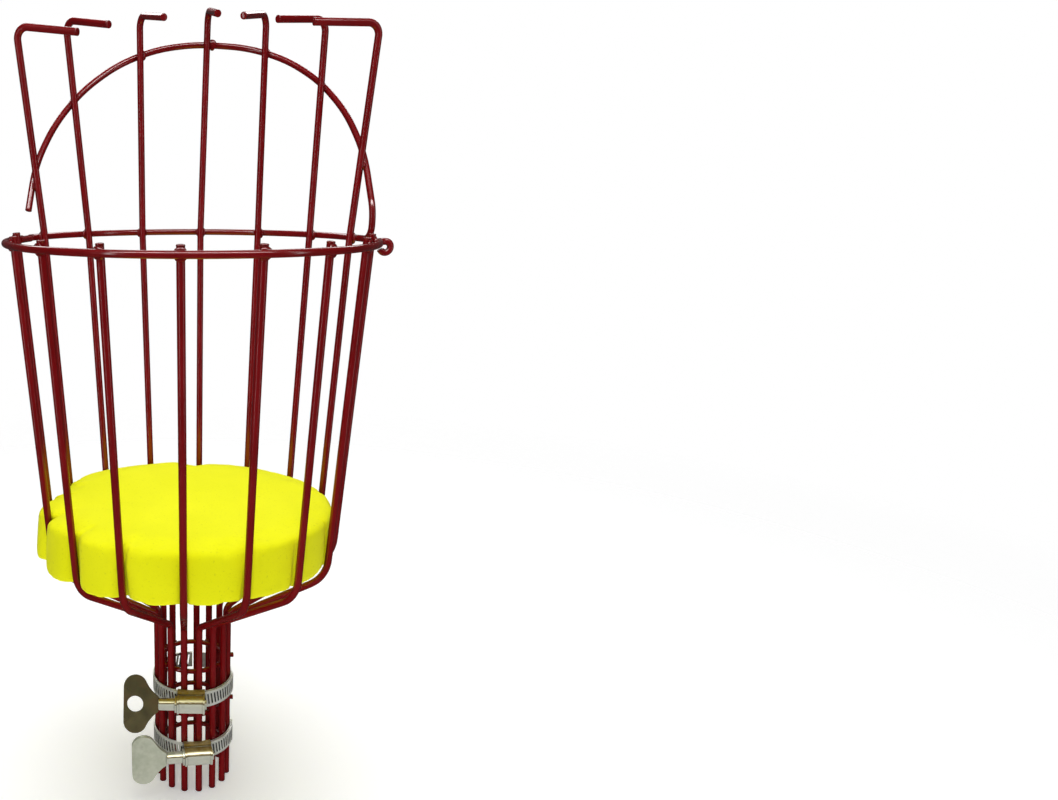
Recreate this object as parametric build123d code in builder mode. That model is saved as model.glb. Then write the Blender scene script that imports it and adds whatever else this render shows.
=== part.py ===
"""Wire fruit picker basket: sixteen bent wires round a foam pad, clamped on a pole by two hose clamps.

Millimetres, +Z up. The origin is the centre of the pole socket's lower mouth. The front of the
basket, where the wires are short, faces -Y, and the clamp keys stick out towards -X.
An azimuth is counted from the front (-Y) towards +X.
"""

import os
from math import acos, asin, cos, degrees, radians, sin, sqrt, tan

from build123d import *

os.makedirs("parts", exist_ok=True)

# ---- wire stock
CAGE_WIRE = 3.06
RIM_WIRE = 2.8
RING_WIRE = 2.2
WELD_SINK = 0.16

# ---- rim
RIM_RADIUS = 75.0
RIM_HEIGHT = 251.0
FRONT_RIM_START = -104.0
FRONT_RIM_END = 86.0
EYE_LEAD_BEND = 4.0
EYE_LEAD_TURN = 80.0
EYE_RADIUS = 2.2
EYE_TURN = 245.0
LAP_START = -97.0
LAP_SWEEP = 8.0
LAP_BEND = 6.0
REAR_RIM_END = 108.0

# ---- arch over the back, a continuation of the rear rim wire
ARCH_BASE = 262.3
ARCH_RISE = 73.7
ARCH_CENTRE = 2.1
ARCH_HALF_WIDTH = 73.2
ARCH_SHOULDERS = {"right": 2.4, "left": 2.0}
ARCH_STEPS = 12
ARCH_STAND_OFF = 0.2
ARCH_CORNER_BEND = 5.5
ARCH_SMOOTHING = 0.45

# ---- cage wires: each stands in a radial plane from the rim down to the floor, and the floor
# ---- stretch swings it round to its place in the socket, most of all at the front left
WIRE_COUNT = 16
WIRE_STEP = 360.0 / WIRE_COUNT
FIRST_AZIMUTH = -3.1
SHORT_STEPS = range(-4, 5)
HOOKED_STEPS = range(5, 12)
HOOK_MIDDLE = WIRE_COUNT / 2
CAGE_RADIUS = RIM_RADIUS - RIM_WIRE / 2 - CAGE_WIRE / 2 + WELD_SINK
LEAN_BELOW = 0.069
LEAN_ABOVE = 0.091
LEAN_BEND = 60.0
SHORT_TOP = RIM_HEIGHT + 3.1
HOOK_LOW = 336.0
HOOK_RISE = 14.0
HOOK_CROWN_POWER = 1.5
HOOK_LENGTH = 29.5
HOOK_DROPS = (1.0, 3.0, 5.0, 6.0, 5.0, 5.0, 4.0)
HOOK_SHIFTS = (-2.0, 1.5, 1.0, -2.0, -2.0, 2.0, 2.0)
HOOK_TURNS = (0.0, -4.0, 1.0, 12.5, 6.5, 1.0, 0.0)
HOOK_BEND = 4.5
FLOOR_HEIGHT = 114.0
FLOOR_BEND = 16.0
SOCKET_RADIUS = 16.4
SOCKET_HEIGHT = 84.6
SOCKET_BEND = 5.0
SWING = 7.0
SWING_FRONT = 3.0
SWING_LEFT = 2.5

# ---- pole and the rings that guide it
POLE_BORE = 12.85
RING_RADIUS = POLE_BORE + RING_WIRE / 2
RING_HEIGHTS = {"lower": 16.5, "middle": 39.0, "upper": 61.5}
RING_TAIL_STEPS = (4, 5)
RING_TAIL_BEND = 2.0
RING_TAIL_REACH = 19.2
RING_SWEEP = 343.0

# ---- foam pad
PAD_RADIUS = 60.6
PAD_BOTTOM = 119.0
PAD_TOP = 139.0
PAD_EDGE = 5.0

# ---- hose clamps
CLAMPS = {
    "upper": {"height": 49.6, "azimuth": -1.7, "key_turn": -18.0, "holed": True},
    "lower": {"height": 22.7, "azimuth": 6.8, "key_turn": 4.0, "holed": False},
}
BAND_WIDTH = 8.0
BAND_THICK = 0.6
BAND_GAP = 0.05
TAIL_GAP = 0.08
BAND_BORE = SOCKET_RADIUS + CAGE_WIRE / 2 + BAND_GAP
TAIL_BORE = BAND_BORE + BAND_THICK + TAIL_GAP
TAIL_WIDTH = BAND_WIDTH - 0.2
BAND_START = -178.0
BAND_SWEEP = 356.0
BAND_SLOTS = 30
BAND_FIRST_SLOT = BAND_START + 6.0
TAIL_START = -24.0
TAIL_SWEEP = 112.0
TAIL_SLOTS = 21
TAIL_FIRST_SLOT = TAIL_START + 3.0
SLOT_PITCH = 5.0
SLOT_WIDTH = 0.75
SLOT_LENGTH = 5.2
SLOT_SLANT = 8.0
WORM_RADIUS = 3.0
WORM_GAP = 0.12
WORM_AXIS = TAIL_BORE + BAND_THICK + WORM_GAP + WORM_RADIUS
HOUSING_LENGTH = 12.4
HOUSING_WALL = 0.8
HOUSING_LIP = 0.35
HOUSING_GAP = 0.15
WORM_CORE = 2.1
THREAD_PITCH = 1.6
THREAD_TURNS = 3
THREAD_ROOT = 0.5
THREAD_CREST = 0.2
COLLAR = 0.9
COLLAR_GAP = 0.1
COLLAR_RADIUS = 3.7
TIP = 0.8
NECK_RADIUS = 2.7
NECK_LENGTH = 8.4
NECK_CHAMFER = 0.4

# ---- thumb keys: places on the outline are counted outwards from the end of the screw's neck
KEY_THICK = 1.8
KEY_LENGTH = 15.7
KEY_HALF_HEIGHT = 13.0
KEY_TONGUE = 3.6
KEY_TONGUE_HALF = 2.5
KEY_ROOT = 3.3
KEY_EAR = 5.3
KEY_EAR_START = 25.0
KEY_HOLE = 3.65
KEY_HOLE_PLACE = 10.5


def wire_azimuth(step):
    """Azimuth of the cage wire that stands this many steps round from the front one."""
    return FIRST_AZIMUTH + step * WIRE_STEP


def socket_azimuth(step):
    """Azimuth of the same wire in the socket."""
    azimuth = radians(wire_azimuth(step))
    swing = SWING + SWING_FRONT * cos(azimuth) - SWING_LEFT * sin(azimuth)
    return wire_azimuth(step) - swing


def polar(radius, azimuth, height):
    """Point at a radius, azimuth and height."""
    return Vector(radius * sin(radians(azimuth)), -radius * cos(radians(azimuth)), height)


def cage_radius(height):
    """Radius of a cage wire's centre line between its floor bend and its top."""
    lean = LEAN_ABOVE if height > RIM_HEIGHT else LEAN_BELOW
    return CAGE_RADIUS + lean * (height - RIM_HEIGHT)


def section(path, diameter):
    """Round wire section square to the start of a path."""
    with BuildSketch(Plane(path @ 0, z_dir=path % 0)) as profile:
        Circle(diameter / 2)
    return profile.sketch


def bent_wire(name, step, top_spots, top_bends):
    """One cage wire, from the socket's mouth over the floor and up to its top."""
    aside = socket_azimuth(step)
    spots = [polar(SOCKET_RADIUS, aside, 0), polar(SOCKET_RADIUS, aside, SOCKET_HEIGHT)]
    spots.append(polar(cage_radius(FLOOR_HEIGHT), wire_azimuth(step), FLOOR_HEIGHT))
    spots += top_spots
    with BuildPart() as wire:
        with BuildLine() as path:
            FilletPolyline(*spots, radius=[SOCKET_BEND, FLOOR_BEND, *top_bends])
        sweep(section(path.wire(), CAGE_WIRE))
    write(wire.part, name)


def write(piece, name):
    """Label a finished piece and write it out."""
    piece.label = name
    export_step(piece, f"parts/{name}.step")


# ---- short front wires, cut off square just above the rim
for number, step in enumerate(SHORT_STEPS, start=1):
    short_top = polar(cage_radius(SHORT_TOP), wire_azimuth(step), SHORT_TOP)
    bent_wire(f"short_wire_{number}", step, [short_top], [])

# ---- tall rear wires, whose hooks turn inwards and rise towards the back like a crown; above
# ---- the rim each leans a little sideways, and its hook turns and drops by its own amount
hand_bends = zip(HOOKED_STEPS, HOOK_DROPS, HOOK_SHIFTS, HOOK_TURNS)
for number, (step, drop, shift, turn) in enumerate(hand_bends, start=1):
    from_middle = abs(step - HOOK_MIDDLE) / (HOOKED_STEPS[-1] - HOOK_MIDDLE)
    hook_height = HOOK_LOW + HOOK_RISE * (1 - from_middle**HOOK_CROWN_POWER)
    hook_azimuth = wire_azimuth(step) + shift
    hook_corner = polar(cage_radius(hook_height), hook_azimuth, hook_height)
    hook_tip = hook_corner - polar(HOOK_LENGTH, hook_azimuth + turn, drop)
    rim_spot = polar(CAGE_RADIUS, wire_azimuth(step), RIM_HEIGHT)
    top = [rim_spot, hook_corner, hook_tip]
    bent_wire(f"hooked_wire_{number}", step, top, [LEAN_BEND, HOOK_BEND])


# ---- front rim wire: a bare end on the left, round the front, and an open eye on the right
rim_plane = Plane.XY.offset(RIM_HEIGHT)
with BuildPart() as front_rim:
    with BuildLine(rim_plane) as half_round:
        front_arc = CenterArc(
            (0, 0), RIM_RADIUS, FRONT_RIM_START - 90, FRONT_RIM_END - FRONT_RIM_START
        )
        eye_lead = JernArc(front_arc @ 1, front_arc % 1, EYE_LEAD_BEND, -EYE_LEAD_TURN)
    lead_way = eye_lead % 1
    eye_plane = Plane(eye_lead @ 1, x_dir=lead_way, z_dir=lead_way.cross(Vector(0, 0, 1)))
    with BuildLine(eye_plane) as eye:
        JernArc((0, 0), (1, 0), EYE_RADIUS, -EYE_TURN)
    front_path = Wire(half_round.edges() + eye.edges())
    sweep(section(front_path, RIM_WIRE), path=front_path)
write(front_rim.part, "front_rim")


def arch_point(turn):
    """Point of the arch at a turn from its right foot, just outside the hooked wires."""
    side = "right" if turn < 90 else "left"
    power = 2 / ARCH_SHOULDERS[side]
    across = abs(cos(radians(turn))) ** power * (1 if side == "right" else -1)
    height = ARCH_BASE + ARCH_RISE * sin(radians(turn)) ** power
    radius = cage_radius(height) + (CAGE_WIRE + RIM_WIRE) / 2 - WELD_SINK + ARCH_STAND_OFF
    x = ARCH_CENTRE + ARCH_HALF_WIDTH * across
    return Vector(x, sqrt(radius**2 - x**2), height)


# ---- rear rim and arch, one wire: it laps inside the front rim's bare end, steps out to the rim
# ---- line, runs round the back, turns up on the right and arches over to a bare end on the left
lap_radius = RIM_RADIUS - RIM_WIRE + WELD_SINK
step_in = lap_radius + LAP_BEND
step_out = RIM_RADIUS - LAP_BEND
step_cosine = (step_in**2 + step_out**2 - 4 * LAP_BEND**2) / (2 * step_in * step_out)
step_angle = degrees(acos(step_cosine))
lap_end = LAP_START - LAP_SWEEP
rear_start = lap_end - step_angle
with BuildPart() as rear_rim_and_arch:
    with BuildLine(rim_plane) as rear_round:
        lap = CenterArc((0, 0), lap_radius, LAP_START - 90, -LAP_SWEEP)
        inner_centre = polar(step_in, lap_end, RIM_HEIGHT)
        outer_centre = polar(step_out, rear_start, RIM_HEIGHT)
        turning_point = (inner_centre + outer_centre) / 2
        swing_out = TangentArc(lap @ 1, turning_point, tangent=lap % 1)
        swing_back = TangentArc(
            turning_point, polar(RIM_RADIUS, rear_start, RIM_HEIGHT), tangent=swing_out % 1
        )
        rear_arc = CenterArc(
            (0, 0), RIM_RADIUS, rear_start - 90, REAR_RIM_END - 360 - rear_start
        )
    arch_foot = arch_point(0)
    foot_reach = RIM_RADIUS * radians(REAR_RIM_END - 90) - arch_foot.Y
    corner = (rear_arc @ 1) + (rear_arc % 1) * foot_reach
    arch_points = [arch_point(180 * turn / ARCH_STEPS) for turn in range(ARCH_STEPS + 1)]
    with BuildLine() as arch:
        spots = [rear_arc @ 1, corner, *arch_points]
        bends = [ARCH_CORNER_BEND]
        for before, at, after in zip(spots[1:], spots[2:], spots[3:]):
            way_in = at - before
            way_out = after - at
            shorter = min(way_in.length, way_out.length)
            bend = ARCH_SMOOTHING * shorter / tan(radians(way_in.get_angle(way_out)) / 2)
            bends.append(bend)
        FilletPolyline(*spots, radius=bends)
    rear_path = Wire(rear_round.edges() + arch.edges())
    sweep(section(rear_path, RIM_WIRE), path=rear_path)
write(rear_rim_and_arch.part, "rear_rim_and_arch")

# ---- guide rings inside the socket, each with a short tail out between two wires
tail_lead = degrees(asin(RING_TAIL_BEND / (RING_RADIUS + RING_TAIL_BEND)))
tail_azimuth = sum(socket_azimuth(step) for step in RING_TAIL_STEPS) / len(RING_TAIL_STEPS)
ring_end = tail_azimuth - tail_lead
for ring_name, ring_height in RING_HEIGHTS.items():
    with BuildPart() as guide_ring:
        with BuildLine(Plane.XY.offset(ring_height)) as ring_line:
            ring_arc = CenterArc((0, 0), RING_RADIUS, ring_end - 90 - RING_SWEEP, RING_SWEEP)
            tail_bend = JernArc(ring_arc @ 1, ring_arc % 1, RING_TAIL_BEND, tail_lead - 90)
            Line(tail_bend @ 1, polar(RING_TAIL_REACH, tail_azimuth, ring_height))
        sweep(section(ring_line.wire(), RING_WIRE))
    write(guide_ring.part, f"{ring_name}_guide_ring")

# ---- foam pad on the wire floor
with BuildPart() as foam_pad:
    with BuildSketch(Plane.XY.offset(PAD_BOTTOM)):
        Circle(PAD_RADIUS)
    extrude(amount=PAD_TOP - PAD_BOTTOM)
    fillet(foam_pad.edges().filter_by(GeomType.CIRCLE), PAD_EDGE)
write(foam_pad.part, "foam_pad")


def clamp_plane(height, azimuth):
    """Plane through a clamp's middle, with x along its worm and -y towards the housing."""
    along = Vector(cos(radians(azimuth)), sin(radians(azimuth)), 0)
    return Plane(origin=(0, 0, height), x_dir=along, z_dir=(0, 0, 1))


def worm_plane(clamp):
    """Plane on a clamp's worm axis, with x along the worm and z up the key."""
    level = clamp_plane(clamp["height"], clamp["azimuth"])
    turned = level * Location((0, -WORM_AXIS, 0)) * Rotation(clamp["key_turn"], 0, 0)
    return Plane(turned)


def slotted_strip(level, bore, width, ends, slots, first_slot):
    """Curved steel strip with slanting slots; angles are azimuths within the clamp."""
    start, sweep_angle = ends
    with BuildPart() as strip:
        with BuildSketch(level.offset(-width / 2)):
            with BuildLine():
                outer = CenterArc((0, 0), bore + BAND_THICK, start - 90, sweep_angle)
                inner = CenterArc((0, 0), bore, start - 90, sweep_angle)
                Line(outer @ 0, inner @ 0)
                Line(outer @ 1, inner @ 1)
            make_face()
        extrude(amount=width)
        slot_spread = (slots - 1) * SLOT_PITCH
        slant = (SLOT_SLANT, 0, 0)
        with Locations(level):
            with PolarLocations(bore, slots, first_slot - 90, slot_spread, endpoint=True):
                Box(4 * BAND_THICK, SLOT_WIDTH, SLOT_LENGTH, rotation=slant, mode=Mode.SUBTRACT)
    return strip.part


def clamp_housing(level):
    """Pressed housing: a barrel over the worm on a base that grips the band's two edges."""
    barrel_bore = WORM_RADIUS + WORM_GAP
    barrel = barrel_bore + HOUSING_WALL
    base_top = TAIL_BORE + BAND_THICK + HOUSING_WALL
    passage = TAIL_BORE + BAND_THICK + HOUSING_GAP
    side = Plane(level.origin, x_dir=-level.y_dir, z_dir=level.x_dir)
    with BuildPart() as housing:
        with BuildSketch(side.offset(-HOUSING_LENGTH / 2)):
            with Locations((WORM_AXIS, 0)):
                Circle(barrel)
            with Locations((base_top / 2, 0)):
                Rectangle(base_top, BAND_WIDTH + 2 * HOUSING_WALL)
        extrude(amount=HOUSING_LENGTH)
        for end in (-HOUSING_LENGTH / 2, HOUSING_LENGTH / 2 - HOUSING_WALL):
            with BuildSketch(side.offset(end)):
                with Locations((WORM_AXIS, 0)):
                    Circle(barrel + HOUSING_LIP)
            extrude(amount=HOUSING_WALL)
        with BuildSketch(side.offset(-HOUSING_LENGTH)):
            with Locations((WORM_AXIS, 0)):
                Circle(barrel_bore)
            with Locations((passage / 2, 0)):
                Rectangle(passage, BAND_WIDTH)
        extrude(amount=2 * HOUSING_LENGTH, mode=Mode.SUBTRACT)
        with Locations(level):
            Cylinder(BAND_BORE, 4 * BAND_WIDTH, mode=Mode.SUBTRACT)
    return housing.part


def worm_screw(axis):
    """Worm with ring-shaped threads, collar, tip and a neck slotted for the key."""
    half = HOUSING_LENGTH / 2
    neck_end = -half - NECK_LENGTH
    collar_end = -half - COLLAR_GAP
    with BuildPart() as screw:
        with BuildSketch(Plane(axis.origin, x_dir=axis.x_dir, z_dir=-axis.y_dir)):
            with BuildLine():
                points = [(neck_end, 0), (neck_end, NECK_RADIUS - NECK_CHAMFER)]
                points += [(neck_end + NECK_CHAMFER, NECK_RADIUS), (collar_end - COLLAR, NECK_RADIUS)]
                points += [(collar_end - COLLAR, COLLAR_RADIUS), (collar_end, COLLAR_RADIUS)]
                points += [(collar_end, WORM_CORE)]
                for turn in range(-THREAD_TURNS, THREAD_TURNS + 1):
                    middle = turn * THREAD_PITCH
                    points += [(middle - THREAD_ROOT, WORM_CORE), (middle - THREAD_CREST, WORM_RADIUS)]
                    points += [(middle + THREAD_CREST, WORM_RADIUS), (middle + THREAD_ROOT, WORM_CORE)]
                points += [(half + TIP, WORM_CORE), (half + TIP, 0)]
                Polyline(*points, close=True)
            make_face()
        revolve(axis=Axis(axis.origin, axis.x_dir))
        with Locations(axis * Location((neck_end, 0, 0))):
            Box(2 * KEY_TONGUE, KEY_THICK, 4 * NECK_RADIUS, mode=Mode.SUBTRACT)
    return screw.part


def thumb_key(axis, holed):
    """Flat fan-shaped thumb key with a tongue in the screw's neck."""
    root = -HOUSING_LENGTH / 2 - NECK_LENGTH

    def outline(place):
        """Point of the outline, from how far out it is and its height above the worm's axis."""
        return (root - place[0], place[1])

    def ear_point(turn):
        """Place on the round upper ear, at a turn from its side nearest the root."""
        out = KEY_LENGTH - KEY_EAR - KEY_EAR * cos(radians(turn))
        return (out, KEY_HALF_HEIGHT - KEY_EAR + KEY_EAR * sin(radians(turn)))

    with BuildPart() as key:
        with BuildSketch(Plane(axis.origin, x_dir=axis.x_dir, z_dir=-axis.y_dir)):
            with BuildLine():
                tongue = Polyline(
                    (root + KEY_TONGUE, 0),
                    (root + KEY_TONGUE, KEY_TONGUE_HALF),
                    (root, KEY_TONGUE_HALF),
                )
                Line(tongue @ 1, outline((0, KEY_ROOT)))
                ear_start = ear_point(KEY_EAR_START)
                TangentArc(
                    outline(ear_start),
                    outline((0, KEY_ROOT)),
                    tangent=(sin(radians(KEY_EAR_START)), -cos(radians(KEY_EAR_START))),
                )
                ear = ThreePointArc(
                    outline(ear_start), outline(ear_point(90)), outline(ear_point(180))
                )
                Line(ear @ 1, outline((KEY_LENGTH, 0)))
                mirror(about=Plane.XZ)
            make_face()
            if holed:
                with Locations(outline((KEY_HOLE_PLACE, 0))):
                    Circle(KEY_HOLE, mode=Mode.SUBTRACT)
        extrude(amount=KEY_THICK / 2, both=True)
    return key.part


# ---- two worm-drive hose clamps
for clamp_name, clamp in CLAMPS.items():
    level = clamp_plane(clamp["height"], clamp["azimuth"])
    axis = worm_plane(clamp)
    band_ends = (BAND_START, BAND_SWEEP)
    tail_ends = (TAIL_START, TAIL_SWEEP)
    band = slotted_strip(level, BAND_BORE, BAND_WIDTH, band_ends, BAND_SLOTS, BAND_FIRST_SLOT)
    tail = slotted_strip(level, TAIL_BORE, TAIL_WIDTH, tail_ends, TAIL_SLOTS, TAIL_FIRST_SLOT)
    write(band, f"{clamp_name}_clamp_band")
    write(tail, f"{clamp_name}_clamp_tail")
    write(clamp_housing(level), f"{clamp_name}_clamp_housing")
    write(worm_screw(axis), f"{clamp_name}_worm_screw")
    write(thumb_key(axis, clamp["holed"]), f"{clamp_name}_thumb_key")
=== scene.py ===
from math import cos, pi, radians, sin

import bmesh
import bpy
import numpy as np
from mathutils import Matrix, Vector, noise
from mathutils.bvhtree import BVHTree


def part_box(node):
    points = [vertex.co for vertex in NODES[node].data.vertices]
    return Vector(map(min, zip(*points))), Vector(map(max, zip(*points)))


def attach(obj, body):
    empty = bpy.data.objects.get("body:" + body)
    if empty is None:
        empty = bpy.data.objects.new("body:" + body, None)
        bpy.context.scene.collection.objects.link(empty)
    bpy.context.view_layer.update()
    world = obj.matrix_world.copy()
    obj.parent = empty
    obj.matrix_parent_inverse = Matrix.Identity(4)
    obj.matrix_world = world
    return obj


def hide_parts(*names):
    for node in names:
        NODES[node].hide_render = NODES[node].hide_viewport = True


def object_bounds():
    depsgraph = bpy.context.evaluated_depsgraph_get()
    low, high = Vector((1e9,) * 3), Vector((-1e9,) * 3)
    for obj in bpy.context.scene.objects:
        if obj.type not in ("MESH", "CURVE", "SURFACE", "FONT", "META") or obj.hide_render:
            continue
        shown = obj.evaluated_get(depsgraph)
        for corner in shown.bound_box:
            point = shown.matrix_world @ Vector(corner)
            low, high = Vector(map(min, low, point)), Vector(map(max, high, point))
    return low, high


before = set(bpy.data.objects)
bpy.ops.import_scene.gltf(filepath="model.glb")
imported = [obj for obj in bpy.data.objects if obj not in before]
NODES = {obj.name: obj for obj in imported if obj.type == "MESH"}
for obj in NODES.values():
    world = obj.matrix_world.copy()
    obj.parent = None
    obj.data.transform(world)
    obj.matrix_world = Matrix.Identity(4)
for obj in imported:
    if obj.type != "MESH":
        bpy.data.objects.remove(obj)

CAD_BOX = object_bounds()
MM = 0.001
CAGE = "cage"

# ---- camera, at the photograph's viewing angle on the left of its two copies
CAMERA_PLACE = (0.0, -0.3756, 0.2729)
CAMERA_PITCH = 16.87
CAMERA_LENS = 30.52
CAMERA_SHIFT = (0.3181, 0.0539)
CAMERA_SENSOR = 36
CAMERA_CLIP = 0.01

# ---- foam pad: a round cut of foam pushed in off centre, so that it comes out between the
# ---- wires most of all on the left, and less at its top than lower down
PAD_HALF_WIDTH = 66.4 * MM
PAD_HALF_DEPTH = 60.6 * MM
PAD_MIDDLE = (-3.8 * MM, -2.0 * MM)
PAD_TOP = 140.4 * MM
PAD_BOTTOM = 115.8 * MM
PAD_START_INSET = 0.8 * MM
PAD_EDGE = 1.6 * MM
PAD_EDGE_STEPS = 5
PAD_SIDES = 96
PAD_JOIN = 0.01 * MM
PAD_VOXEL = 2.5 * MM
PAD_FINER = 2
PAD_PRESSURE = 4.0
PAD_STRETCH = 30
PAD_BENDING = 6
PAD_FRAMES = 20
PAD_CAP = 1.4 * MM

# ---- how the cage wires press the foam in, and how it comes out between them
WIRE_COUNT = 16
WIRE_RADIUS = 1.53 * MM
WIRE_GAP = 0.22 * MM
WIRE_LOW = 4 * MM
PRESSED_FROM = 40 * MM
RECOVERY = 2.6 * MM
RECOVERY_POWER = 1.3
PAD_SWELL = 0.5 * MM
PAD_TAPER = 1.6 * MM
PAD_TAPER_FULL = 4 * MM
PAD_SLUMP = 8.0 * MM
PAD_SLUMP_AZIMUTH = radians(-102)
PAD_SLUMP_REACH = radians(13)
PAD_SLUMP_POWER = 1.5
PAD_SAG = 1.1 * MM
PAD_SAG_FROM = 52 * MM
PAD_SAG_OVER = 12 * MM
PAD_SAG_LEVEL = 0.6
PAD_UNEVEN = 0.3 * MM
PAD_UNEVEN_SCALE = 55

# ---- heights that tell a cage wire's stretches apart
WIRES_RADIAL_ABOVE = 126 * MM
WIRES_RADIAL_BELOW = 256 * MM
HOOKS_ABOVE = 300 * MM
SOCKET_BELOW = 70 * MM

# ---- studio
FLOOR_RADIUS = 0.75
FLOOR_SIDES = 96
FLOOR_FADE = 0.16
FLOOR_GAP = 0.2 * MM
FLOOR_GLOW = 0.3
SURROUND = 0.1
REFLECTED = 0.05
SOFT_BOXES = {
    "front": ((-0.1, -1.1, 0.4), (0.4, 0.6), 4.5),
    "top": ((0.0, 0.0, 1.15), (1.1, 1.1), 13.0),
    "back": ((0.1, 1.0, 0.5), (0.9, 0.6), 0.9),
}
STRIPS = {
    "strip_above": ((0.0, -0.55, 1.1), (1.5, 0.14), 14.0),
    "strip_left": ((-0.8, -0.75, 0.35), (0.08, 1.2), 2.0),
    "strip_right": ((0.95, -0.5, 0.35), (0.07, 1.2), 1.4),
    "strip_behind": ((0.0, 0.9, 0.9), (1.4, 0.2), 6.0),
}

# ---- drops of paint on the wire ends: share of the wire's radius, and rise along it
END_PROFILE = [
    (1.015, -0.5 * MM),
    (1.03, -0.25 * MM),
    (1.0, -0.02 * MM),
    (0.9, 0.07 * MM),
    (0.65, 0.13 * MM),
    (0.3, 0.15 * MM),
]
END_SEGMENTS = 24
END_CORNERS = 10
END_LARGEST = 2 * MM
END_OUT_OF_ROUND = 0.08 * MM
FLAT = 0.99995
SAME_PLACE = 0.002 * MM

# ---- weld beads: depth, width and height of each, and how lumpy they are
BEAD_RIM = (1.05 * MM, 2.5 * MM, 2.5 * MM)
BEAD_ARCH = (0.95 * MM, 2.2 * MM, 2.3 * MM)
BEAD_RING = (0.75 * MM, 1.7 * MM, 1.8 * MM)
BEAD_LUMP = 0.14
BEAD_LUMP_SCALE = 1.7
BEAD_SEED_STEP = 3.1
ARCH_SEED = 50
RING_SEED = 90
RIM_REACH = 2 * MM
ARCH_ABOVE_RIM = 12 * MM
CROSSING_STEP = 0.2 * MM
BEAD_SEGMENTS = (20, 12)

# ---- edges of the clamps' sheet metal
STRIP_ROUND = 0.08 * MM
PLATE_ROUND = 0.25 * MM
ROUND_SEGMENTS = 3
ROUND_ANGLE = radians(50)

# ---- zinc tones: golds on top, partly the zinc's yellow and partly a painted reflection of the yellow pad; cream, a painted highlight line; browns, painted shade at the barrel's edge; pale silver below, partly zinc and partly painted highlight
GOLD = (0.4, 0.27, 0.035)
DULL_GOLD = (0.3, 0.2, 0.03)
PALE_SILVER = (0.78, 0.79, 0.68)
SILVER = (0.66, 0.68, 0.58)
CREAM_HIGHLIGHT = (0.95, 0.9, 0.62)
BROWN_SHADE = (0.17, 0.12, 0.03)
WARM_BROWN_SHADE = (0.2, 0.14, 0.03)

# ---- radii in millimetres of the round parts that the zinc tones band
HOUSING_BARREL = 3.92
SCREW_NECK = 2.7

# ---- shading that follows shape: the strips' radius, and rays that look for crevices, where the finishes paint shade
STRIP_RADIUS = 18 * MM
CREVICE_SAMPLES = 8


def short_wires():
    """Names of the cage wires that end at the rim."""
    return sorted(n for n in NODES if n.startswith("short_wire"))


def hooked_wires():
    """Names of the tall cage wires behind."""
    return sorted(n for n in NODES if n.startswith("hooked_wire"))


def coordinates(node):
    """A CAD node's vertices as rows of an array."""
    mesh = NODES[node].data
    found = np.zeros(len(mesh.vertices) * 3, np.float32)
    mesh.vertices.foreach_get("co", found)
    return found.reshape(-1, 3).astype(float)


def tree_of(node):
    """Search tree of a CAD node's faces."""
    mesh = NODES[node].data
    corners = [tuple(v.co) for v in mesh.vertices]
    return BVHTree.FromPolygons(corners, [tuple(p.vertices) for p in mesh.polygons])


def outward(azimuth):
    """Level unit vector at an azimuth, counted from the front towards +X."""
    return Vector((sin(azimuth), -cos(azimuth), 0))


def azimuth_of(point):
    """Azimuth of a point."""
    return float(np.arctan2(point[0], -point[1]))


def turn_of(places):
    """Azimuth of the middle of a set of rows."""
    return azimuth_of(places.mean(0))


def wire_azimuth(node):
    """Azimuth of the radial plane that a cage wire stands in between pad and rim."""
    places = coordinates(node)
    heights = places[:, 2]
    return turn_of(places[(heights > WIRES_RADIAL_ABOVE) & (heights < WIRES_RADIAL_BELOW)])


def arch_point(node, rim_height, arch_low, arch_high):
    """Point where a hooked wire, which may lean sideways above the rim, meets the arch."""
    places = coordinates(node)
    upper = places[places[:, 2] > HOOKS_ABOVE]
    hook_height = upper[:, 2].min()
    lowest = upper[upper[:, 2] < hook_height + 2 * WIRE_RADIUS]
    azimuth = wire_azimuth(node)
    first = outward(azimuth)
    last = outward(turn_of(lowest))
    for _ in range(2):
        point = crossing("rear_rim_and_arch", azimuth, arch_low, arch_high)
        if point is None:
            return None
        share = (point.z - rim_height) / (hook_height - rim_height)
        aim = first.lerp(last, min(1.0, max(0.0, share)))
        azimuth = azimuth_of(aim)
    return crossing("rear_rim_and_arch", azimuth, arch_low, arch_high)


def socket_azimuth(node):
    """Azimuth of a cage wire in the pole socket."""
    places = coordinates(node)
    return turn_of(places[places[:, 2] < SOCKET_BELOW])


def inner_radius(tree, azimuth, height):
    """Radius at which a level ray from the axis meets a node, or None."""
    hit = tree.ray_cast(Vector((0, 0, height)), outward(azimuth))
    return None if hit[0] is None else hit[3]


def crossing(node, azimuth, low, high):
    """Point where a thin node is met on its inner side at an azimuth, between two heights."""
    tree = tree_of(node)
    heights = np.arange(low, high, CROSSING_STEP)
    met = [(h, inner_radius(tree, azimuth, h)) for h in heights]
    met = [(h, r) for h, r in met if r is not None]
    if not met:
        return None
    height = sum(h for h, r in met) / len(met)
    point = outward(azimuth) * min(r for h, r in met)
    point.z = height
    return point


# ---------------------------------------------------------------- materials


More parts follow.
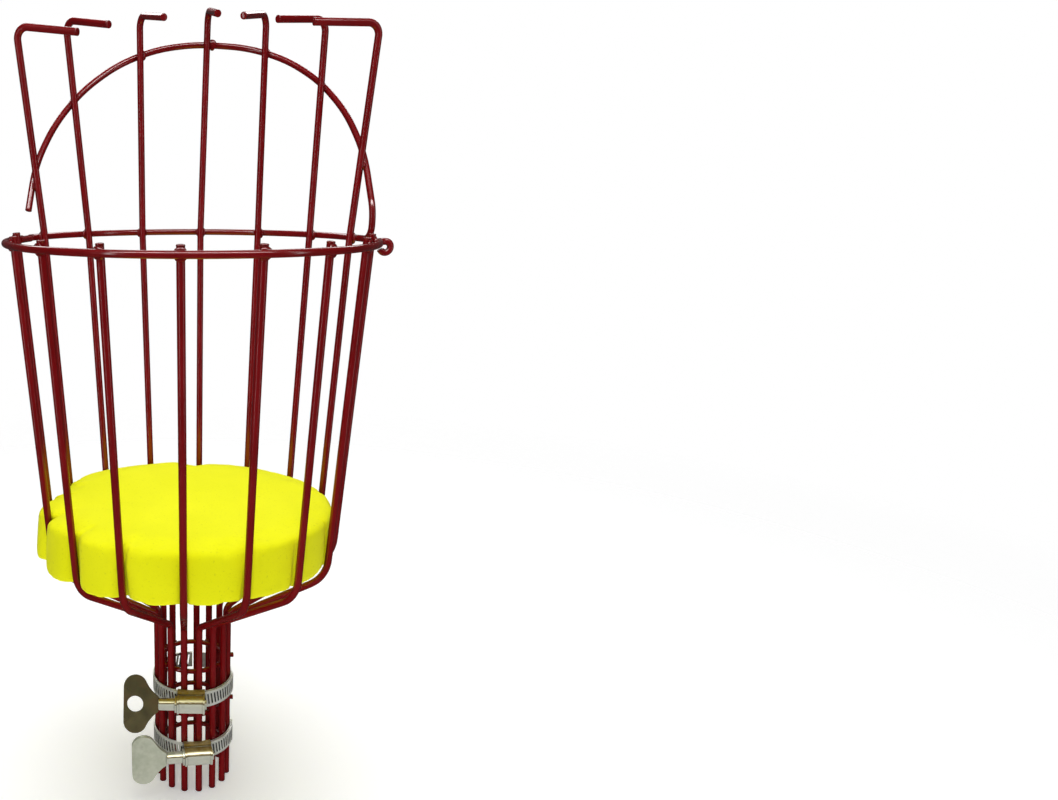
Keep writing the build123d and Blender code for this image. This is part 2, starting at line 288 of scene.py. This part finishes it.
class Finish:
    """A procedural material under construction."""

    def __init__(self, name):
        self.material = bpy.data.materials.new(name)
        self.material.use_nodes = True
        self.tree = self.material.node_tree
        self.surface = self.tree.nodes["Principled BSDF"]
        self.place = self.node("ShaderNodeTexCoord").outputs["Object"]

    def node(self, kind, **settings):
        """A node of a kind, with its properties set."""
        made = self.tree.nodes.new(kind)
        for key, value in settings.items():
            setattr(made, key, value)
        return made

    def feed(self, socket, value):
        """Link an output to a socket, or set the socket's value."""
        if isinstance(value, bpy.types.NodeSocket):
            self.tree.links.new(value, socket)
        else:
            socket.default_value = value

    def set(self, **inputs):
        """Feed the surface's inputs, named with underscores for spaces."""
        for key, value in inputs.items():
            self.feed(self.surface.inputs[key.replace("_", " ")], value)

    def maths(self, operation, first, second=0.0):
        """Output of a Math node."""
        made = self.node("ShaderNodeMath", operation=operation)
        self.feed(made.inputs[0], first)
        self.feed(made.inputs[1], second)
        return made.outputs[0]

    def stretched(self, scales, vector=None):
        """Coordinates multiplied along each axis."""
        made = self.node("ShaderNodeVectorMath", operation="MULTIPLY")
        self.feed(made.inputs[0], vector or self.place)
        made.inputs[1].default_value = scales
        return made.outputs[0]

    def noise(self, scale, detail=2.0, vector=None):
        """Noise value at a scale per metre."""
        made = self.node("ShaderNodeTexNoise")
        self.feed(made.inputs["Vector"], vector or self.place)
        made.inputs["Scale"].default_value = scale
        made.inputs["Detail"].default_value = detail
        made.inputs["Roughness"].default_value = 0.5
        return made.outputs["Fac"]

    def cells(self, scale):
        """Distance to the nearest cell centre, at a scale per metre."""
        made = self.node("ShaderNodeTexVoronoi", feature="F1")
        self.feed(made.inputs["Vector"], self.place)
        made.inputs["Scale"].default_value = scale
        return made.outputs["Distance"]

    def spread(self, value, low, high, to_low=0.0, to_high=1.0):
        """A value mapped from one range to another, and held inside it."""
        made = self.node("ShaderNodeMapRange")
        self.feed(made.inputs["Value"], value)
        made.inputs["From Min"].default_value = low
        made.inputs["From Max"].default_value = high
        made.inputs["To Min"].default_value = to_low
        made.inputs["To Max"].default_value = to_high
        return made.outputs["Result"]

    def mix(self, factor, first, second):
        """Colour between two colours."""
        made = self.node("ShaderNodeMix", data_type="RGBA")
        self.feed(made.inputs["Factor"], factor)
        for place, tone in ((6, first), (7, second)):
            self.feed(made.inputs[place], (*tone, 1) if isinstance(tone, tuple) else tone)
        return made.outputs[2]

    def bump(self, height, strength, distance, under=None):
        """Normal bent by a height, over another normal."""
        made = self.node("ShaderNodeBump")
        self.feed(made.inputs["Height"], height)
        made.inputs["Strength"].default_value = strength
        made.inputs["Distance"].default_value = distance
        if under is not None:
            self.feed(made.inputs["Normal"], under)
        return made.outputs["Normal"]

    def wrapped(self):
        """Coordinates of a strip bent round the Z axis: along it, up it and through it."""
        split = self.node("ShaderNodeSeparateXYZ")
        self.feed(split.inputs[0], self.place)
        turn = self.maths("ARCTAN2", split.outputs["Y"], split.outputs["X"])
        joined = self.node("ShaderNodeCombineXYZ")
        self.feed(joined.inputs["X"], self.maths("MULTIPLY", turn, STRIP_RADIUS))
        self.feed(joined.inputs["Y"], split.outputs["Z"])
        return joined.outputs[0]

    def height(self, middle):
        """Height above a level, in millimetres."""
        split = self.node("ShaderNodeSeparateXYZ")
        self.feed(split.inputs[0], self.place)
        return self.maths("MULTIPLY", self.maths("SUBTRACT", split.outputs["Z"], middle), 1 / MM)

    def bands(self, value, tones):
        """Colours along a value, from pairs of place and colour in rising order."""
        low, high = tones[0][0], tones[-1][0]
        made = self.node("ShaderNodeValToRGB")
        self.feed(made.inputs[0], self.spread(value, low, high))
        ramp = made.color_ramp
        ramp.elements.remove(ramp.elements[1])
        for index, (place, tone) in enumerate(tones):
            share = (place - low) / (high - low)
            stop = ramp.elements.new(share) if index else ramp.elements[0]
            stop.position = share
            stop.color = (*tone, 1)
        return made.outputs["Color"]

    def crevice(self, reach):
        """How open a point is to its surroundings, from 0 in a crevice to 1; the finishes darken
        their colour by it to paint shade into crevices.
        """
        made = self.node("ShaderNodeAmbientOcclusion", samples=CREVICE_SAMPLES)
        made.inputs["Distance"].default_value = reach
        return made.outputs["AO"]


def cage_paint():
    """Glossy dark red powder coat with orange peel and duller patches, and painted shade in its
    crevices.
    """
    f = Finish("cage_paint")
    patches = f.spread(f.noise(55, 3), 0.35, 0.65)
    tone = f.mix(patches, (0.36, 0.0016, 0.006), (0.46, 0.003, 0.01))
    # painted shade: the red goes near black in crevices, where the wires and welds meet
    tone = f.mix(f.crevice(2.5 * MM), (0.02, 0.0003, 0.0006), tone)
    peel = f.noise(420, 2)
    f.set(
        Base_Color=tone,
        Roughness=f.spread(f.noise(140, 2), 0.3, 0.7, 0.3, 0.4),
        Specular_IOR_Level=0.3,
        Coat_Weight=1.0,
        Coat_Tint=(0.5, 0.3, 0.3, 1),
        Coat_Roughness=f.spread(patches, 0, 1, 0.12, 0.2),
        Normal=f.bump(peel, 0.12, 0.1 * MM),
        Coat_Normal=f.bump(peel, 0.06, 0.1 * MM),
    )
    return f.material


def yellow_foam():
    """Fine open-celled lemon yellow foam, with pores, mottling and cut marks on its side, and
    painted shade darkening its pores and deep specks.
    """
    f = Finish("yellow_foam")
    cloud = f.spread(f.noise(38, 3), 0.3, 0.7)
    tone = f.mix(cloud, (0.88, 0.89, 0.004), (0.94, 0.94, 0.008))
    pores = f.spread(f.cells(1300), 0.02, 0.3)
    deep = f.spread(f.noise(900, 2), 0.62, 0.74)
    # painted shade: deep specks and the pits of the pores are darkened, as shade inside the
    # foam's holes
    tone = f.mix(f.maths("MULTIPLY", deep, 0.28), tone, (0.5, 0.52, 0.004))
    tone = f.mix(f.spread(pores, 0, 1, 0.22, 0.0), tone, (0.55, 0.58, 0.004))
    cuts = f.noise(1.0, 2, vector=f.stretched((60, 60, 2600)))
    skin = f.bump(pores, 0.35, 0.12 * MM)
    skin = f.bump(f.noise(420, 3), 0.25, 0.22 * MM, skin)
    skin = f.bump(cuts, 0.12, 0.12 * MM, skin)
    f.set(
        Base_Color=tone,
        Roughness=0.82,
        Specular_IOR_Level=0.1,
        Sheen_Weight=0.05,
        Sheen_Roughness=0.5,
        Sheen_Tint=(1.0, 1.0, 0.5, 1),
        Subsurface_Weight=0.1,
        Subsurface_Radius=(2 * MM, 2 * MM, 0.3 * MM),
        Subsurface_Scale=1.0,
        Normal=skin,
    )
    return f.material


def band_steel():
    """Rolled stainless strip: brushed lengthways, smudged, with painted shade darkening its slots
    and crevices.
    """
    f = Finish("band_steel")
    strip = f.wrapped()
    brushed = f.noise(1.0, 3, vector=f.stretched((90, 9000, 1), strip))
    smudge = f.spread(f.noise(210, 3), 0.35, 0.7)
    lines = f.noise(1.0, 2, vector=f.stretched((260, 5200, 1), strip))
    scratch = f.spread(lines, 0.66, 0.72)
    dulled = f.maths("MULTIPLY", smudge, 0.08)
    tone = f.mix(smudge, (0.8, 0.8, 0.74), (0.95, 0.95, 0.9))
    tone = f.mix(f.maths("MULTIPLY", scratch, 0.3), tone, (0.4, 0.4, 0.38))
    # painted shade: near black in the slots and where the band meets the other parts
    tone = f.mix(f.spread(f.crevice(2.2 * MM), 0.45, 0.8), (0.004, 0.009, 0.006), tone)
    f.set(
        Base_Color=tone,
        Metallic=0.45,
        Roughness=f.maths("ADD", f.spread(brushed, 0.3, 0.7, 0.24, 0.34), dulled),
        Anisotropic=0.3,
        Normal=f.bump(brushed, 0.08, 0.03 * MM),
    )
    return f.material


def plated(name, tone, roughness=0.34, metallic=0.4, crystal=(1.0, 1.0, 0.94)):
    """Plated pressed steel over a tone: faint crystal mottle, fine scratches, dull stains and
    painted shade in its crevices.
    """
    f, colour = tone(name)
    mottle = f.spread(f.noise(520, 3), 0.3, 0.7)
    stain = f.spread(f.noise(170, 3), 0.6, 0.8)
    colour = f.mix(f.maths("MULTIPLY", mottle, 0.12), colour, crystal)
    colour = f.mix(f.maths("MULTIPLY", stain, 0.25), colour, (0.12, 0.09, 0.04))
    # painted shade: near black in the crevices and slots of the pressed parts
    colour = f.mix(f.crevice(0.8 * MM), (0.02, 0.016, 0.008), colour)
    scratch = f.noise(1.0, 2, vector=f.stretched((160, 2600, 2600)))
    f.set(
        Base_Color=colour,
        Metallic=metallic,
        Roughness=f.spread(mottle, 0, 1, roughness, roughness + 0.1),
        Normal=f.bump(scratch, 0.05, 0.03 * MM, f.bump(mottle, 0.04, 0.04 * MM)),
    )
    return f.material


def banded_zinc_with_painted_light(clamp, part, radius, upper_tone):
    """Zinc banded by height: a top tone that is partly the zinc's yellow and partly a painted
    reflection of the yellow pad, a painted highlight line, a brown line of painted shade at the
    barrel's edge, and pale silver below, partly zinc and partly painted highlight.
    """

    def tone(name):
        f = Finish(name)
        low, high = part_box(f"{clamp}_worm_screw")
        level = (low.z + high.z) / 2
        wander = f.maths("MULTIPLY", f.maths("SUBTRACT", f.noise(260, 2), 0.5), 0.5)
        height = f.maths("ADD", f.height(level), wander)
        share = f.maths("DIVIDE", height, radius)
        # painted light by height: the top tone is partly a painted reflection of the yellow pad,
        # the cream band a painted highlight, the brown bands painted shade
        tones = [
            (-1.0, PALE_SILVER),
            (0.5, PALE_SILVER),
            (0.56, BROWN_SHADE),
            (0.68, WARM_BROWN_SHADE),
            (0.76, CREAM_HIGHLIGHT),
            (0.83, CREAM_HIGHLIGHT),
            (0.92, upper_tone),
            (1.4, upper_tone),
        ]
        return f, f.bands(share, tones)

    return plated(f"{clamp}_{part}", tone)


def olive(name):
    """Bronze-green mottle over a darker olive, which is the painted dark reflection on the upper
    key.
    """
    f = Finish(name)
    cloud = f.spread(f.noise(150, 3), 0.35, 0.65)
    rust = f.spread(f.noise(90, 3, vector=f.stretched((1, 1, 1.6))), 0.5, 0.68)
    tone = f.mix(cloud, (0.075, 0.06, 0.022), (0.125, 0.098, 0.038))
    tone = f.mix(f.maths("MULTIPLY", rust, 0.55), tone, (0.16, 0.078, 0.03))
    flecks = f.spread(f.noise(600, 2), 0.4, 0.7)
    return f, f.mix(f.maths("MULTIPLY", flecks, 0.3), tone, (0.06, 0.085, 0.02))


def grey_green(name):
    """Pale dull zinc with faint green clouds, whose paleness is the painted bright reflection on
    the lower key.
    """
    f = Finish(name)
    cloud = f.spread(f.noise(130, 3), 0.35, 0.65)
    return f, f.mix(cloud, (0.46, 0.49, 0.37), (0.57, 0.59, 0.47))


FINISHES = {
    "cage_paint": cage_paint(),
    "yellow_foam": yellow_foam(),
    "band_steel": band_steel(),
    "upper_clamp_housing": banded_zinc_with_painted_light("upper", "clamp_housing", HOUSING_BARREL, GOLD),
    "lower_clamp_housing": banded_zinc_with_painted_light("lower", "clamp_housing", HOUSING_BARREL, DULL_GOLD),
    "upper_worm_screw": banded_zinc_with_painted_light("upper", "worm_screw", SCREW_NECK, GOLD),
    "lower_worm_screw": banded_zinc_with_painted_light("lower", "worm_screw", SCREW_NECK, SILVER),
    # the two thumb keys are one zinc part: the upper key's dark olive and the lower key's pale
    # grey-green are painted reflections, shaded and lit copies
    "upper_thumb_key": plated("bronze_zinc", olive, 0.45, 0.2, (0.2, 0.16, 0.06)),
    "lower_thumb_key": plated("bright_zinc", grey_green, 0.42, 0.2),
}
METAL_NODES = [n for n in NODES if any(word in n for word in ("clamp", "screw", "key"))]


def finish_nodes():
    """Give every CAD node its finish, and take the sharpness off the clamps' cut edges."""
    for name, node in NODES.items():
        strip = name.endswith(("band", "tail"))
        finish = FINISHES["band_steel"] if strip else FINISHES.get(name, FINISHES["cage_paint"])
        node.data.materials.clear()
        node.data.materials.append(finish)
        if name not in METAL_NODES:
            continue
        weld = node.modifiers.new("join", "WELD")
        weld.merge_threshold = SAME_PLACE
        rounding = node.modifiers.new("round", "BEVEL")
        rounding.width = STRIP_ROUND if strip else PLATE_ROUND
        rounding.segments = ROUND_SEGMENTS
        rounding.limit_method = "ANGLE"
        rounding.angle_limit = ROUND_ANGLE
        rounding.use_clamp_overlap = True
        shading = node.modifiers.new("shade", "WEIGHTED_NORMAL")
        shading.keep_sharp = False
        for polygon in node.data.polygons:
            polygon.use_smooth = True


# ---------------------------------------------------------------- meshes


def mesh_object(name, build, slot):
    """Smooth object from a bmesh, with a slot's finish, riding on the cage."""
    mesh = bpy.data.meshes.new(name)
    build.to_mesh(mesh)
    build.free()
    for polygon in mesh.polygons:
        polygon.use_smooth = True
    mesh.materials.append(FINISHES[slot])
    made = bpy.data.objects.new(name, mesh)
    bpy.context.scene.collection.objects.link(made)
    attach(made, CAGE)
    return made


def add_bead(build, point, sizes, seed):
    """One lumpy weld bead, flat against the two wires that meet at a point."""
    out = outward(azimuth_of(point))
    along = Vector((-out.y, out.x, 0))
    round_it, up_it = BEAD_SEGMENTS
    made = bmesh.ops.create_uvsphere(build, u_segments=round_it, v_segments=up_it, radius=1.0)
    shift = Vector((seed * BEAD_SEED_STEP, 0, 0))
    for vertex in made["verts"]:
        lump = 1 + BEAD_LUMP * noise.noise(vertex.co * BEAD_LUMP_SCALE + shift)
        deep, wide, tall = (c * s * lump for c, s in zip(vertex.co, sizes))
        vertex.co = point + out * deep + along * wide + Vector((0, 0, tall))


def weld_beads():
    """Beads where the cage wires meet the rim, the arch and the guide rings."""
    rim_middle = float(np.median(coordinates("front_rim")[:, 2]))
    arch_low = rim_middle + ARCH_ABOVE_RIM
    arch_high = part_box("rear_rim_and_arch")[1].z
    rim_beads = bmesh.new()
    arch_beads = bmesh.new()
    ring_beads = bmesh.new()
    for seed, name in enumerate(short_wires() + hooked_wires()):
        azimuth = wire_azimuth(name)
        socket_turn = socket_azimuth(name)
        for rim in ("front_rim", "rear_rim_and_arch"):
            point = crossing(rim, azimuth, rim_middle - RIM_REACH, rim_middle + RIM_REACH)
            if point:
                add_bead(rim_beads, point, BEAD_RIM, seed)
        if name.startswith("hooked"):
            point = arch_point(name, rim_middle, arch_low, arch_high)
            if point:
                add_bead(arch_beads, point, BEAD_ARCH, seed + ARCH_SEED)
        for ring in ("lower_guide_ring", "middle_guide_ring", "upper_guide_ring"):
            low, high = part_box(ring)
            point = crossing(ring, socket_turn, low.z, high.z)
            if point:
                point += outward(socket_turn) * (high.z - low.z)
                add_bead(ring_beads, point, BEAD_RING, seed + RING_SEED)
    mesh_object("rim_welds", rim_beads, "cage_paint")
    mesh_object("arch_welds", arch_beads, "cage_paint")
    mesh_object("ring_welds", ring_beads, "cage_paint")


# ---------------------------------------------------------------- painted wire ends


def flat_ends(node):
    """Centre, outward normal and radius of each flat round end of a wire."""
    build = bmesh.new()
    build.from_mesh(NODES[node].data)
    bmesh.ops.remove_doubles(build, verts=build.verts, dist=SAME_PLACE)
    build.normal_update()
    seen = set()
    ends = []
    for face in build.faces:
        if face in seen:
            continue
        patch, waiting = [], [face]
        seen.add(face)
        while waiting:
            current = waiting.pop()
            patch.append(current)
            for edge in current.edges:
                for other in edge.link_faces:
                    if other not in seen and other.normal.dot(face.normal) > FLAT:
                        seen.add(other)
                        waiting.append(other)
        corners = {vertex for part in patch for vertex in part.verts}
        if len(corners) < END_CORNERS:
            continue
        rows = np.array([vertex.co for vertex in corners])
        centre = (rows.min(0) + rows.max(0)) / 2
        reach = np.linalg.norm(rows - centre, axis=1)
        if reach.max() < END_LARGEST and reach.max() - reach.min() < END_OUT_OF_ROUND:
            ends.append((Vector(centre), face.normal.copy(), float(reach.max())))
    build.free()
    return ends


def add_cap(build, centre, normal, radius):
    """Rounded drop of paint over one wire end."""
    side = normal.orthogonal().normalized()
    other = normal.cross(side)
    rings = []
    for share, rise in END_PROFILE:
        ring = []
        for step in range(END_SEGMENTS):
            angle = 2 * pi * step / END_SEGMENTS
            out = (side * cos(angle) + other * sin(angle)) * radius * share
            ring.append(build.verts.new(centre + out + normal * rise))
        rings.append(ring)
    for inner, outer in zip(rings, rings[1:]):
        for step in range(END_SEGMENTS):
            after = (step + 1) % END_SEGMENTS
            build.faces.new((inner[step], inner[after], outer[after], outer[step]))
    build.faces.new(rings[0][::-1])
    build.faces.new(rings[-1])


def wire_ends():
    """Painted caps on every cut wire end of the cage."""
    build = bmesh.new()
    for name in NODES:
        if name not in METAL_NODES and name != "foam_pad":
            for centre, normal, radius in flat_ends(name):
                add_cap(build, centre, normal, radius)
    mesh_object("wire_ends", build, "cage_paint")


# ---------------------------------------------------------------- foam pad


def pad_blank():
    """Round slab a little smaller than the finished pad, with its edges just broken."""
    radius = PAD_HALF_WIDTH - PAD_START_INSET
    half = (PAD_TOP - PAD_BOTTOM) / 2 - PAD_START_INSET
    inner, level = radius - PAD_EDGE, half - PAD_EDGE
    bend = np.linspace(0, pi / 2, PAD_EDGE_STEPS)
    profile = [(0.0, -half)]
    profile += [(inner + PAD_EDGE * sin(turn), -level - PAD_EDGE * cos(turn)) for turn in bend]
    profile += [(inner + PAD_EDGE * cos(turn), level + PAD_EDGE * sin(turn)) for turn in bend]
    profile.append((0.0, half))
    build = bmesh.new()
    line = [build.verts.new((r, 0, z)) for r, z in profile]
    edges = [build.edges.new(pair) for pair in zip(line, line[1:])]
    axis = {"axis": (0, 0, 1), "cent": (0, 0, 0)}
    bmesh.ops.spin(build, geom=line + edges, steps=PAD_SIDES, angle=2 * pi, **axis)
    bmesh.ops.remove_doubles(build, verts=build.verts, dist=PAD_JOIN)
    bmesh.ops.recalc_face_normals(build, faces=build.faces)
    squeezed = (1, (PAD_HALF_DEPTH - PAD_START_INSET) / radius, 1)
    bmesh.ops.scale(build, vec=squeezed, verts=build.verts)
    middle = Vector((*PAD_MIDDLE, (PAD_TOP + PAD_BOTTOM) / 2))
    bmesh.ops.translate(build, vec=middle, verts=build.verts)
    return build


def vertices_of(thing, evaluated=False):
    """Vertices of an object as rows, with its modifiers if asked."""
    if evaluated:
        thing = thing.evaluated_get(bpy.context.evaluated_depsgraph_get())
    found = np.zeros(len(thing.data.vertices) * 3, np.float32)
    thing.data.vertices.foreach_get("co", found)
    return found.reshape(-1, 3).astype(float)


def put_vertices(thing, places):
    """Write an object's vertices back from rows."""
    thing.data.vertices.foreach_set("co", places.astype(np.float32).ravel())
    thing.data.update()


def apply_modifiers(thing):
    """Replace an object's mesh with the one its modifiers make."""
    shown = thing.evaluated_get(bpy.context.evaluated_depsgraph_get())
    thing.data = bpy.data.meshes.new_from_object(shown)
    thing.modifiers.clear()


def inflate(thing):
    """Swell a closed mesh as cloth under pressure, with a cap on how far a point may move."""
    start = vertices_of(thing)
    cloth = thing.modifiers.new("swell", "CLOTH")
    cloth.settings.use_pressure = True
    cloth.settings.uniform_pressure_force = PAD_PRESSURE
    cloth.settings.effector_weights.gravity = 0
    cloth.settings.tension_stiffness = PAD_STRETCH
    cloth.settings.compression_stiffness = PAD_STRETCH
    cloth.settings.bending_stiffness = PAD_BENDING
    cloth.point_cache.frame_end = PAD_FRAMES
    for step in range(1, PAD_FRAMES + 1):
        bpy.context.scene.frame_set(step)
    moved = vertices_of(thing, evaluated=True) - start
    thing.modifiers.clear()
    bpy.context.scene.frame_set(1)
    length = np.linalg.norm(moved, axis=1, keepdims=True)
    moved *= np.minimum(1, PAD_CAP / np.maximum(length, 1e-9))
    put_vertices(thing, start + moved)


def wire_line(name):
    """Azimuth of a cage wire and its centre's radius at two heights."""
    azimuth = wire_azimuth(name)
    tree = tree_of(name)
    low = inner_radius(tree, azimuth, PAD_BOTTOM + WIRE_LOW)
    high = inner_radius(tree, azimuth, PAD_TOP)
    return azimuth, low + WIRE_RADIUS, high + WIRE_RADIUS


def free_radius(azimuths):
    """Radius from the axis to the edge of the pad, before the wires press on it."""
    across, ahead = np.sin(azimuths), -np.cos(azimuths)
    square = (across / PAD_HALF_WIDTH) ** 2 + (ahead / PAD_HALF_DEPTH) ** 2
    slope = across * PAD_MIDDLE[0] / PAD_HALF_WIDTH**2 + ahead * PAD_MIDDLE[1] / PAD_HALF_DEPTH**2
    inside = 1 - (PAD_MIDDLE[0] / PAD_HALF_WIDTH) ** 2 - (PAD_MIDDLE[1] / PAD_HALF_DEPTH) ** 2
    return (slope + np.sqrt(slope**2 + square * inside)) / square


def press_between_wires(places):
    """Squeeze the foam in at each cage wire and leave it out between them."""
    lines = np.array([wire_line(name) for name in short_wires() + hooked_wires()])
    azimuths = np.arctan2(places[:, 0], -places[:, 1])
    radii = np.maximum(np.hypot(places[:, 0], places[:, 1]), 1 * MM)
    share = (places[:, 2] - PAD_BOTTOM - WIRE_LOW) / (PAD_TOP - PAD_BOTTOM - WIRE_LOW)
    upper = np.clip(share, 0, 1)
    off = (azimuths[:, None] - lines[None, :, 0] + pi) % (2 * pi) - pi
    nearest = np.abs(off).argmin(1)
    off = np.abs(off[np.arange(len(off)), nearest])
    centre = lines[nearest, 1] + (lines[nearest, 2] - lines[nearest, 1]) * share
    free = free_radius(azimuths)
    past = np.clip(free - centre, 0, None)
    taper = PAD_TAPER * upper * np.clip(past / PAD_TAPER_FULL, 0, 1)
    reach = WIRE_RADIUS + WIRE_GAP
    aside = radii * np.sin(off)
    at_wire = centre - np.sqrt(np.clip(reach**2 - aside**2, 0, None))
    room = np.clip(aside - reach, 0, None)
    eased = 1 - np.exp(-((room / RECOVERY) ** RECOVERY_POWER))
    cell = np.sin(np.clip(room / (free * pi / WIRE_COUNT - reach), 0, 1) * pi / 2)
    from_slump = (azimuths - PAD_SLUMP_AZIMUTH) / PAD_SLUMP_REACH
    slump = PAD_SLUMP * np.exp(-(from_slump**2)) * upper**PAD_SLUMP_POWER
    between = centre + (past - taper - slump + PAD_SWELL * cell) * eased
    limit = np.where(aside < reach, at_wire, between)
    depth = np.clip(free + PAD_SWELL - limit, 0, None)
    reached = np.clip((radii - PRESSED_FROM) / (free - PRESSED_FROM), 0, 1)
    fade = reached**2 * (3 - 2 * reached)
    wanted = radii - depth * fade
    edge = np.clip((radii - PAD_SAG_FROM) / PAD_SAG_OVER, 0, 1) ** 2
    lower = np.clip(1 - 2 * share, 0, 1)
    places[:, 2] -= PAD_SAG * edge * lower * (cell - PAD_SAG_LEVEL)
    places[:, 0] *= wanted / radii
    places[:, 1] *= wanted / radii
    return places


def foam_pad():
    """The pad: simulated, let out between the wires, and slightly uneven."""
    pad = mesh_object("foam_cushion", pad_blank(), "yellow_foam")
    remesh = pad.modifiers.new("even", "REMESH")
    remesh.mode = "VOXEL"
    remesh.voxel_size = PAD_VOXEL
    apply_modifiers(pad)
    inflate(pad)
    finer = pad.modifiers.new("finer", "SUBSURF")
    finer.levels = PAD_FINER
    finer.render_levels = PAD_FINER
    apply_modifiers(pad)
    places = press_between_wires(vertices_of(pad))
    for row in places:
        row[2] += PAD_UNEVEN * noise.noise(Vector(row) * PAD_UNEVEN_SCALE)
    put_vertices(pad, places)
    for polygon in pad.data.polygons:
        polygon.use_smooth = True
    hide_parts("foam_pad")


# ---------------------------------------------------------------- studio


def area_light(name, place, target, size, power):
    """A soft box that faces a point."""
    lamp = bpy.data.lights.new(name, "AREA")
    lamp.shape = "RECTANGLE"
    lamp.size, lamp.size_y = size
    lamp.energy = power
    made = bpy.data.objects.new(name, lamp)
    made.location = place
    made.rotation_euler = (Vector(target) - Vector(place)).to_track_quat("-Z", "Y").to_euler()
    bpy.context.scene.collection.objects.link(made)
    return made


def floor_white():
    """Matt white that thins out towards the floor's edge."""
    f = Finish("floor_white")
    f.set(
        Base_Color=(0.9, 0.9, 0.9, 1),
        Roughness=0.9,
        Specular_IOR_Level=0.0,
        Emission_Color=(1, 1, 1, 1),
        Emission_Strength=FLOOR_GLOW,
    )
    length = f.node("ShaderNodeVectorMath", operation="LENGTH")
    f.feed(length.inputs[0], f.place)
    f.set(Alpha=f.spread(length.outputs["Value"], FLOOR_FADE, FLOOR_RADIUS, 1.0, 0.0))
    return f.material


def studio():
    """White floor that fades into a white background, with soft boxes and a dim surround."""
    build = bmesh.new()
    bmesh.ops.create_circle(build, cap_ends=True, segments=FLOOR_SIDES, radius=FLOOR_RADIUS)
    floor_mesh = bpy.data.meshes.new("floor")
    build.to_mesh(floor_mesh)
    build.free()
    floor = bpy.data.objects.new("floor", floor_mesh)
    floor.visible_glossy = False
    floor.location.z = CAD_BOX[0].z - FLOOR_GAP
    bpy.context.scene.collection.objects.link(floor)
    floor_mesh.materials.append(floor_white())

    world = bpy.data.worlds.new("studio")
    bpy.context.scene.world = world
    world.use_nodes = True
    nodes, links = world.node_tree.nodes, world.node_tree.links
    nodes.clear()
    output = nodes.new("ShaderNodeOutputWorld")
    chooser = nodes.new("ShaderNodeMixShader")
    path = nodes.new("ShaderNodeLightPath")
    surround = nodes.new("ShaderNodeBackground")
    brightness = nodes.new("ShaderNodeMapRange")
    brightness.inputs["To Min"].default_value = SURROUND
    brightness.inputs["To Max"].default_value = REFLECTED
    links.new(path.outputs["Is Glossy Ray"], brightness.inputs["Value"])
    links.new(brightness.outputs["Result"], surround.inputs["Strength"])
    surround.inputs["Color"].default_value = (1, 1, 1, 1)
    backdrop = nodes.new("ShaderNodeBackground")
    backdrop.inputs["Color"].default_value = (1, 1, 1, 1)
    links.new(path.outputs["Is Camera Ray"], chooser.inputs[0])
    links.new(surround.outputs[0], chooser.inputs[1])
    links.new(backdrop.outputs[0], chooser.inputs[2])
    links.new(chooser.outputs[0], output.inputs["Surface"])

    middle = (CAD_BOX[0] + CAD_BOX[1]) / 2
    for name, (place, size, power) in SOFT_BOXES.items():
        area_light(name, place, middle, size, power).visible_glossy = False
    for name, (place, size, power) in STRIPS.items():
        area_light(name, place, middle, size, power).visible_diffuse = False


def camera():
    """Camera at the photograph's viewing angle."""
    data = bpy.data.cameras.new("camera")
    data.sensor_width = CAMERA_SENSOR
    data.lens = CAMERA_LENS
    data.shift_x, data.shift_y = CAMERA_SHIFT
    data.clip_start = CAMERA_CLIP
    made = bpy.data.objects.new("camera", data)
    made.location = CAMERA_PLACE
    made.rotation_euler = (radians(90 - CAMERA_PITCH), 0, 0)
    bpy.context.scene.collection.objects.link(made)
    bpy.context.scene.camera = made


camera()
studio()
finish_nodes()
foam_pad()
weld_beads()
wire_ends()
bpy.context.scene.view_settings.view_transform = "Standard"
